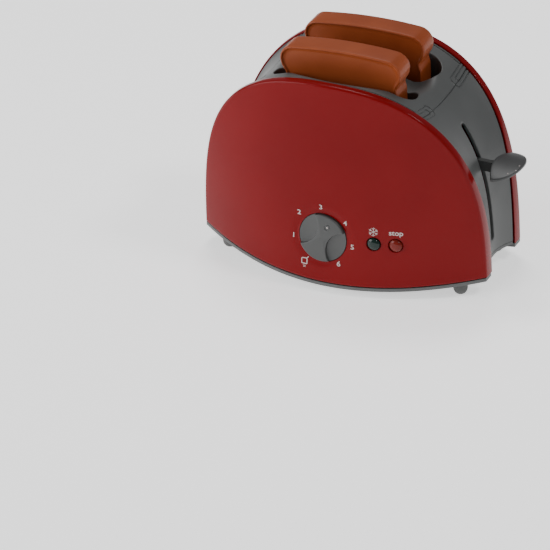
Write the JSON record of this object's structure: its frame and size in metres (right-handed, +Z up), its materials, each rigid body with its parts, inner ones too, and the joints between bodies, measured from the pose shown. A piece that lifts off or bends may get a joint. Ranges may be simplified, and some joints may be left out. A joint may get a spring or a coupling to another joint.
{
  "type": "toy toaster",
  "caption": "Toy pop-up toaster with domed side shells, a dished top with bread slots, toy bread slices, a side lever, a timer dial and push buttons.",
  "frame": {"origin": "middle of the box round the whole toaster with its lever, at the level of the feet", "axes": "+Z up, +X toward the end with the lever, -Y toward the side with the dial"},
  "size_m": [0.1932, 0.111, 0.1418],
  "materials": {
    "red_shell": "gloss",
    "gray_frame": "satin",
    "foot": "matt",
    "steel": "plain",
    "dark_plastic": "satin",
    "bread": "satin",
    "dial": "satin",
    "white_plastic": "satin",
    "green_button": "gloss",
    "red_button": "gloss"
  },
  "bodies": {
    "housing": {"front_shell": "red_shell", "rear_shell": "red_shell", "end_wall_right": "gray_frame", "end_wall_left": "gray_frame", "top_frame": "gray_frame", "base_tray": "gray_frame", "foot_front_left": "foot", "foot_rear_left": "foot", "foot_front_right": "foot", "foot_rear_right": "foot", "base_screw_front_left": "steel", "base_screw_rear_left": "steel", "base_screw_front_right": "steel", "base_screw_rear_right": "steel", "guide_rod_front": "steel", "guide_rod_rear": "steel", "lift_spring_front": "steel", "lift_spring_rear": "steel", "timer_plate_front": "steel", "timer_plate_rear": "steel", "timer_screw_1": "steel", "timer_screw_2": "steel", "button_guide": "white_plastic", "guide_screw_lower": "steel", "guide_screw_upper": "steel", "defrost_spring": "steel", "stop_spring": "steel", "latch_pin": "steel"},
    "carriage": {"carriage": "dark_plastic", "lever_paddle": "gray_frame"},
    "slice_front": {"bread_slice_front": "bread"},
    "slice_rear": {"bread_slice_rear": "bread"},
    "dial": {"timer_dial": "dial", "timer_shaft": "steel", "timer_gear": "white_plastic", "release_cam": "white_plastic"},
    "ratchet": {"escape_wheel": "white_plastic"},
    "defrost": {"defrost_button": "green_button"},
    "stop": {"stop_button": "red_button"},
    "latch": {"latch_lever": "white_plastic"}
  },
  "joints": [
    {"name": "lever_slide", "type": "slide", "parent": "housing", "child": "carriage", "axis": [0, 0, 1], "range_m": [-0.044, 0.016], "stiffness_N_per_m": 80, "springref_m": 0.0219, "deforming": ["lift_spring_front", "lift_spring_rear"]},
    {"name": "bread_front_lift", "type": "slide", "parent": "carriage", "child": "slice_front", "axis": [0, 0, 1], "range_m": [0, 0.12]},
    {"name": "bread_rear_lift", "type": "slide", "parent": "carriage", "child": "slice_rear", "axis": [0, 0, 1], "range_m": [0, 0.12]},
    {"name": "dial_turn", "type": "hinge", "parent": "housing", "child": "dial", "pos_m": [-0.00763, -0.05272, 0.0345], "axis": [0, -0.9947, 0.1024], "range_deg": [-122, 172]},
    {"name": "ratchet_turn", "type": "hinge", "parent": "housing", "child": "ratchet", "pos_m": [-0.02431, -0.05272, 0.0345], "axis": [0, -0.9947, 0.1024], "range_deg": [-516, 366]},
    {"name": "defrost_press", "type": "slide", "parent": "housing", "child": "defrost", "axis": [0, 1, 0], "range_m": [0, 0.002], "stiffness_N_per_m": 300, "deforming": ["defrost_spring"]},
    {"name": "stop_press", "type": "slide", "parent": "housing", "child": "stop", "axis": [0, 1, 0], "range_m": [0, 0.002], "stiffness_N_per_m": 300, "deforming": ["stop_spring"]},
    {"name": "latch_swing", "type": "hinge", "parent": "housing", "child": "latch", "pos_m": [0.04037, -0.0293, 0.033], "axis": [0, 0, 1], "range_deg": [0, 30], "stiffness_Nm_per_rad": 0.02}
  ],
  "couplings": [
    {"joint": "ratchet_turn", "follows": "dial_turn", "ratio": -3}
  ]
}
